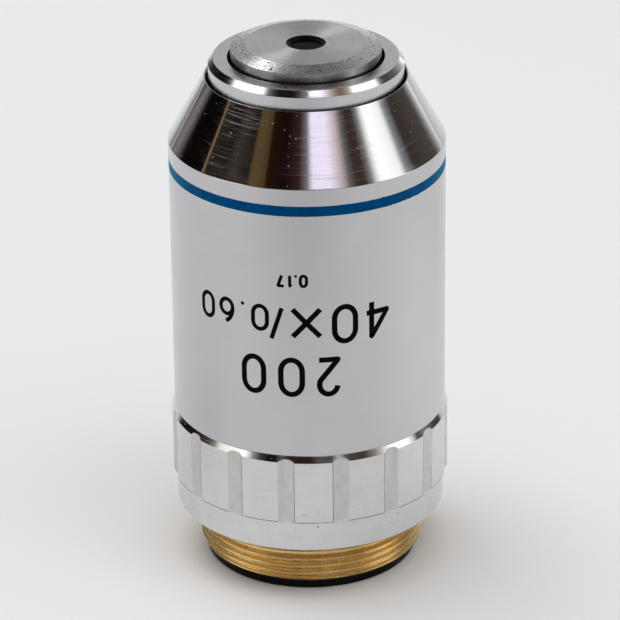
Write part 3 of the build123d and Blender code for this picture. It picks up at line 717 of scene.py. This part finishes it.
def threadedMount():
    m = Sizes(**mount)
    rows = [(m.threadRadius, m.threadFoot + (m.seat - m.threadFoot) * i / 104, 0) for i in range(105)]
    bevelRows = [(m.gripRadius - m.gripBevelWidth * share, m.gripTop - m.gripBevel * (1 - share), 0)
                 for share in (i / 14 for i in range(14))]
    outline = [(m.threadBore, m.threadFoot, 0)] + rows + [
        (m.collarRadius - m.collarBevel, m.seat, 0.02), (m.collarRadius, m.seat + m.collarBevel, 0.05),
        (m.collarRadius, m.gripFoot, 0.015), (m.gripRadius, m.gripFoot, 0.05), (m.gripRadius, m.gripFoot + 0.09, 0),
        (m.gripRadius, m.gripTop - m.gripBevel - 0.05, 0),
    ] + bevelRows + [
        (m.gripRadius - m.gripBevelWidth, m.gripTop, 0.02), (m.spigotRadius, m.gripTop, 0.05),
        (m.spigotRadius, m.spigotTop, 0.1), (m.guideBore, m.spigotTop, 0.1), (m.guideBore, m.seatFloor, 0.05),
        (m.threadBore, m.seatFloor, 0.05),
    ]

    def finish(r, z):
        if r < m.spigotRadius + 0.02 and z > m.seat:
            return 3
        if z > m.gripTop - m.gripBevel - 0.01:
            return 2
        # a thin band of painted shade along the grip's lower edge, standing in for the step's shadow
        if m.gripFoot - 0.01 < z < m.gripFoot + 0.09 and r > m.collarRadius + 0.05:
            return 5
        return 0 if z < m.seat + m.bareEdge else 1

    def climbing(r, z, angle):
        # the blank's rows follow the helix, so that the crests run along them, and come back down behind
        if r != m.threadRadius:
            return r, z
        turned = (angle / (2 * math.pi) + 0.25 - viewAzimuth / 360.0 + 0.5) % 1.0
        rise = turned - 0.5
        if turned < 0.05 or turned > 0.95:
            rise = -9.0 * turned if turned < 0.5 else 9.0 * (1.0 - turned)
        share = 1.0
        for low, high in m.climbs:
            t = min(1.0, max(0.0, (z - low) / (high - low)))
            share *= t * t * (3.0 - 2.0 * t)
        return r, z + m.pitch * rise * share

    shown = ("bareBrass", "gripChrome", "polishedChrome", "blackOxide", "fluteChrome", "paintedEdgeShade")
    blank = turn("threaded_mount_blank", outline, shown, finish, angles=flutedAngles(m), shape=climbing)
    blank.modifiers.new("threadAndFlutes", "NODES").node_group = cutterTree(m, metal["bareBrass"])
    mesh = settled(blank)
    bpy.data.objects.remove(blank)
    mesh.name = "threaded_mount_cut"
    # the floors of the flutes keep the cutter's finish, with a line of painted shade in the corner nearer the front
    index = {material.name: i for i, material in enumerate(mesh.materials)}
    half, period = fluteHalfAngle(m)[0], 2 * math.pi / m.flutes
    for face in mesh.polygons:
        x, y, z = face.center
        reach = math.hypot(x, y)
        onGrip = m.gripFoot * mm <= z <= (m.gripTop - 0.01) * mm
        if not onGrip or reach < (m.collarRadius + 0.05) * mm:
            continue
        angle = (math.atan2(y, x) - math.radians(m.fluteStart) + period / 2) % period - period / 2
        onBevel = max(0.0, z - (m.gripTop - m.gripBevel) * mm) / (m.gripBevel * mm)
        plain = (m.gripRadius - m.gripBevelWidth * onBevel) * mm
        if abs(angle) < half * 0.97 and reach < plain - 0.000006:
            # painted shade: only the corner nearer the front gets the dark finish
            corner = abs(angle) > half * 0.9 and angle * x < 0
            face.material_index = index["paintedEdgeShade" if corner else "fluteChrome"]
    piece = finishMesh("threaded_mount_cut", mesh, 35)
    sharp = mesh.attributes.get("sharp_edge")
    low, high = (m.threadFoot + 0.02) * mm, (m.seat - 0.02) * mm
    for edge in mesh.edges:
        ends = [mesh.vertices[index].co for index in edge.vertices]
        if all(low < end.z < high and end.xy.length > m.threadFloor * mm for end in ends):
            sharp.data[edge.index].value = False
    dress(piece, mountBody, "mount_plating", "threaded_mount")


threadedMount()
print("mount cut")


def noseBarrel():
    sizes = dict(top=48.09, radius=8.66, recess=6.94, bevelWidth=0.45, bevelHeight=0.54, stop=41.5, flange=10.54,
                 flangeFoot=39.3, slide=8.9, foot=9.5, bore=7.5, shoulder=41.29, shankBore=6.2, cellSeat=46.29)
    n = Sizes(**sizes)
    outline = [
        (n.recess, n.top, 0.04), (n.radius - n.bevelWidth, n.top, 0.03), (n.radius, n.top - n.bevelHeight, 0.03),
        (n.radius, n.stop, 0.05), (n.flange, n.stop, 0.1), (n.flange, n.flangeFoot, 0.1),
        (n.slide, n.flangeFoot, 0.05), (n.slide, n.foot, 0.1), (n.bore, n.foot, 0.1), (n.bore, n.shoulder, 0.05),
        (n.shankBore, n.shoulder, 0.05), (n.shankBore, n.cellSeat, 0.05), (n.recess, n.cellSeat, 0.05),
    ]
    slope, inner = n.bevelHeight / n.bevelWidth, n.radius - n.bevelWidth

    def finish(r, z):
        onCone = abs((n.top - z) - slope * (r - inner)) < 0.02
        if onCone and z > n.top - n.bevelHeight - 0.01 and r > inner - 0.01:
            return 1
        return 2 if z < n.stop + 0.5 or (r < n.recess + 0.02 and z < n.top - 0.25) else 0

    piece = turn("nose_barrel_turned", outline, ("satinNose", "polishedChrome", "blackOxide"), finish)
    dress(piece, opticsBody, "nose_plating", "nose_barrel")


def frontCell():
    sizes = dict(top=49.3, radius=6.68, bevelWidth=1.34, bevelHeight=0.38, seat=46.29, shank=6.18, shankEnd=42.29,
                 bore=5.0, step=45.69, lensBore=3.02, window=1.77, windowFloor=1.42, windowDepth=0.3)
    c = Sizes(**sizes)
    flat = c.radius - c.bevelWidth
    outline = [
        (c.window, c.top, 0.02), (flat - 0.02, c.top, 0.005), (flat + 0.01, c.top - 0.012, 0.005),
        (c.radius, c.top - c.bevelHeight, 0.03), (c.radius, c.seat, 0.05), (c.shank, c.seat, 0.05),
        (c.shank, c.shankEnd, 0.05), (c.bore, c.shankEnd, 0.05), (c.bore, c.step, 0.05), (c.lensBore, c.step, 0.05),
        (c.lensBore, c.top - c.windowDepth, 0.02), (c.windowFloor, c.top - c.windowDepth, 0.01),
    ]

    def finish(r, z):
        if r < c.window - 0.005 or z < c.seat + 0.2:
            return 2
        if r > c.radius - 0.01:
            return 3
        return 1 if r > flat and z > c.top - c.bevelHeight - 0.005 else 0

    shown = ("turnedSteel", "mottledSteel", "blackOxide", "wallSteel")
    piece = turn("front_cell_turned", outline, shown, finish)
    dress(piece, opticsBody, "cell_plating", "front_cell")


def rearStop():
    sizes = dict(lip=0.85, radius=9.62, edge=0.12, shank=8.84, shankTop=2.95, wall=1.3, plate=1.0, hole=5.0,
                 bevel=0.3, slotReach=6.4, slotWidth=1.2, slotDepth=0.5)
    s = Sizes(**sizes)
    outline = [
        (s.hole + s.bevel, 0.0, 0.03), (s.radius - s.edge, 0.0, 0.03), (s.radius, s.edge, 0.03),
        (s.radius, s.lip, 0.03), (s.shank, s.lip, 0.03), (s.shank, s.shankTop, 0.05),
        (s.shank - s.wall, s.shankTop, 0.05), (s.shank - s.wall, s.plate, 0.05), (s.hole, s.plate, 0.03),
        (s.hole, s.bevel, 0.03),
    ]
    piece = turn("rear_stop_turned", outline, ("blackOxide",), angles=evenAngles(256))
    mesh = primitive("spannerSlot", bmesh.ops.create_cube, size=1.0)
    mesh.transform(Matrix.Diagonal((2 * s.slotReach * mm, s.slotWidth * mm, 2 * s.slotDepth * mm, 1.0)))
    slotTool = show("spannerSlot", mesh)
    cut = piece.modifiers.new("spannerSlot", "BOOLEAN")
    cut.object, cut.operation, cut.solver = slotTool, "DIFFERENCE", "EXACT"
    made = settled(piece)
    piece.modifiers.clear()
    piece.data = made
    made.name = "rear_stop_turned"
    bpy.data.objects.remove(slotTool)
    made.set_sharp_from_angle(angle=math.radians(30))
    dress(piece, mountBody, "black_finish", "rear_stop")


noseBarrel()
frontCell()
rearStop()
print("nose, cell and rear stop turned")


def returnSpring():
    # round wire, wound from the spigot to the stop flange; its end turns lie flat
    s = dict(foot=21.5, top=39.3, radius=9.75, wire=0.7, turns=6.0, steps=540, flatEnd=0.1)
    half, low, high = s["wire"] / 2, s["foot"] + s["wire"] / 2, s["top"] - s["wire"] / 2
    places = []
    for i in range(s["steps"] + 1):
        share = i / s["steps"]
        angle = 2 * math.pi * s["turns"] * share
        rise = min(1.0, max(0.0, (share - s["flatEnd"]) / (1.0 - 2 * s["flatEnd"])))
        places.append((s["radius"] * math.cos(angle), s["radius"] * math.sin(angle), low + (high - low) * rise))
    path = polyline("springPath", places)
    tree, given = newGroup("roundWire", {"Wire radius": half * mm})
    section = put(tree, "GeometryNodeCurvePrimitiveCircle", {"Resolution": 14, "Radius": given["Wire radius"]})
    wire = put(tree, "GeometryNodeCurveToMesh", {0: given["Geometry"], 1: section.outputs[0], "Fill Caps": True})
    path.modifiers.new("roundWire", "NODES").node_group = closeGroup(tree, wire.outputs[0], metal["springSteel"])
    mesh = settled(path)
    bpy.data.objects.remove(path)
    piece = finishMesh("return_spring_wire", mesh, 50)
    dress(piece, mountBody, "spring_wire", "return_spring")
    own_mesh(piece)


returnSpring()
print("spring wound")

# Engraving: single strokes filled with black, wrapped round the sleeve by Geometry Nodes
lettering = {
    "radius": sleeve["radius"], "film": 0.014, "layer": 0.0004,  # strokes that cross lie a layer apart
    # sign, its middle along the sleeve, baseline height, sign height, width, stroke
    "signs": [
        ("4", 7.67, 29.5, 3.8, 2.55, 0.5), ("0", 4.64, 29.5, 3.8, 2.4, 0.5),
        ("x", 1.22, 29.42, 3.1, 2.9, 0.48), ("/", -1.42, 29.45, 3.4, 1.35, 0.4),
        ("0", -2.93, 29.45, 2.6, 1.68, 0.38), (".", -4.58, 29.4, 0.34, 0.34, 0.34),
        ("6", -6.24, 29.45, 2.6, 1.64, 0.38), ("0", -8.4, 29.45, 2.6, 1.64, 0.38),
        ("2", 3.14, 24.52, 3.85, 2.2, 0.5), ("0", -0.15, 24.52, 3.85, 2.4, 0.5),
        ("0", -3.6, 24.52, 3.85, 2.36, 0.5), ("0", 1.00, 32.54, 1.28, 0.82, 0.28),
        (".", 0.33, 32.5, 0.26, 0.26, 0.26), ("1", -0.18, 32.54, 1.28, 0.45, 0.28),
        ("7", -0.98, 32.54, 1.28, 0.8, 0.28),
    ],
}


def arc(cx, cy, rx, ry, start, end, steps=26):
    turns = [math.radians(start + (end - start) * i / steps) for i in range(steps + 1)]
    return [(cx + rx * math.cos(turned), cy + ry * math.sin(turned)) for turned in turns]


# strokes of each sign in a box of width 1 and height 1; a closed stroke ends where it starts
strokes = {
    "0": [arc(0.5, 0.66, 0.5, 0.34, 0, 180) + arc(0.5, 0.34, 0.5, 0.34, 180, 360) + [(1.0, 0.66)]],
    "1": [[(0.0, 0.8), (0.6, 1.0), (0.6, 0.0)]],
    "2": [arc(0.5, 0.72, 0.48, 0.28, 170, -28) + [(0.0, 0.0), (1.0, 0.0)]],
    "4": [[(0.76, 0.0), (0.76, 1.0), (0.0, 0.3), (1.0, 0.3)]],
    "6": [arc(0.94, 0.36, 0.94, 0.64, 112, 180) + arc(0.5, 0.32, 0.5, 0.32, 180, 540)],
    "7": [[(0.0, 1.0), (1.0, 1.0), (0.36, 0.0)]],
    "x": [[(0.0, 0.0), (1.0, 1.0)], [(0.0, 1.0), (1.0, 0.0)]],
    "/": [[(0.0, 0.0), (1.0, 1.0)]],
    ".": [arc(0.5, 0.5, 0.5, 0.5, 0, 360, 16)],
}


def wrapTree(material):
    # a flat curve (x along the sleeve, y up, z off it) becomes a round-ended stroke on the sleeve
    values = {"Sleeve radius": lettering["radius"] * mm, "Stroke": 0.3 * mm, "Film": lettering["film"] * mm,
              "Round ends": 1.0}
    tree, given = newGroup("engraving", values)
    calc, plus, minus, times = maths(tree)
    half = times(given["Stroke"], 0.5)
    fine = put(tree, "GeometryNodeResampleCurve", {"Curve": given["Geometry"], "Length": 0.02 * mm}, mode="LENGTH")
    upright = put(tree, "GeometryNodeSetCurveNormal", {"Curve": fine.outputs[0]}, mode="Z_UP")
    along = put(tree, "GeometryNodeSplineParameter").outputs
    length = put(tree, "GeometryNodeSplineLength").outputs[0]
    toEnd = calc("MINIMUM", along["Length"], minus(length, along["Length"]))
    gap = calc("MAXIMUM", minus(1.0, calc("DIVIDE", toEnd, half)), 0.0)
    taper = calc("SQRT", calc("MAXIMUM", minus(1.0, times(gap, gap)), 0.0004))
    taper = calc("MULTIPLY_ADD", given["Round ends"], minus(taper, 1.0), 1.0)
    radius = put(tree, "GeometryNodeSetCurveRadius", {"Curve": upright.outputs[0], "Radius": taper})
    sides = {"Width": given["Stroke"], "Height": given["Film"]}
    section = put(tree, "GeometryNodeCurvePrimitiveQuadrilateral", sides)
    body = put(tree, "GeometryNodeCurveToMesh", {0: radius.outputs[0], 1: section.outputs[0], "Fill Caps": True})
    x, y, z = pointPlace(tree)
    angle = calc("DIVIDE", x, given["Sleeve radius"])
    reach = plus(given["Sleeve radius"], z)
    curled = put(tree, "ShaderNodeCombineXYZ", {
        0: times(reach, calc("SINE", angle)), 1: times(times(reach, -1.0), calc("COSINE", angle)), 2: y})
    wrapped = put(tree, "GeometryNodeSetPosition", {"Geometry": body.outputs[0], "Position": curled.outputs[0]})
    return closeGroup(tree, wrapped.outputs[0], material)


def engrave():
    tree = wrapTree(paint)
    sockets = {item.name: item.identifier for item in tree.interface.items_tree if item.in_out == "INPUT"}
    work = bmesh.new()
    for index, (sign, middle, baseline, high, wide, stroke) in enumerate(lettering["signs"]):
        for part, points in enumerate(strokes[sign]):
            inset = stroke / (4 if sign == "." else 2)  # a dot is a ring with no hole
            closed = sign in "0."
            places = []
            for px, py in points[:-1] if closed else points:
                across = (px - 0.5) * (wide - 2 * inset)
                up = inset + py * (high - 2 * inset)
                # the lettering stands on its head, as it does on the real thing when the nose points up
                places.append((middle - across, baseline - up, lettering["layer"] * (index % 3 + part)))
            path = polyline("stroke", places, closed)
            wrap = path.modifiers.new("engraving", "NODES")
            wrap.node_group = tree
            wrap[sockets["Stroke"]] = 2 * inset * mm
            wrap[sockets["Round ends"]] = 0.0 if closed else 1.0
            mesh = settled(path)
            work.from_mesh(mesh)
            bpy.data.objects.remove(path)
            bpy.data.meshes.remove(mesh)
    mesh = bpy.data.meshes.new("sleeve_numbers")
    work.to_mesh(mesh)
    work.free()
    mesh.materials.append(paint)
    piece = finishMesh("sleeve_numbers", mesh, 40)
    dress(piece, mountBody, "black_finish")


engrave()
print("numbers engraved")

# The hidden optics keep their CAD shapes and get real finishes
for name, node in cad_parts.items():
    if name.endswith(("lens", "crown", "flint", "negative", "positive")):
        material = glass
    elif name == "guide_screw":
        material = metal["springSteel"]
    else:
        material = metal["blackOxide"]
    if not node.data.materials:
        node.data.materials.append(material)
    for index in range(len(node.data.materials)):
        node.data.materials[index] = material
print("optics finished")
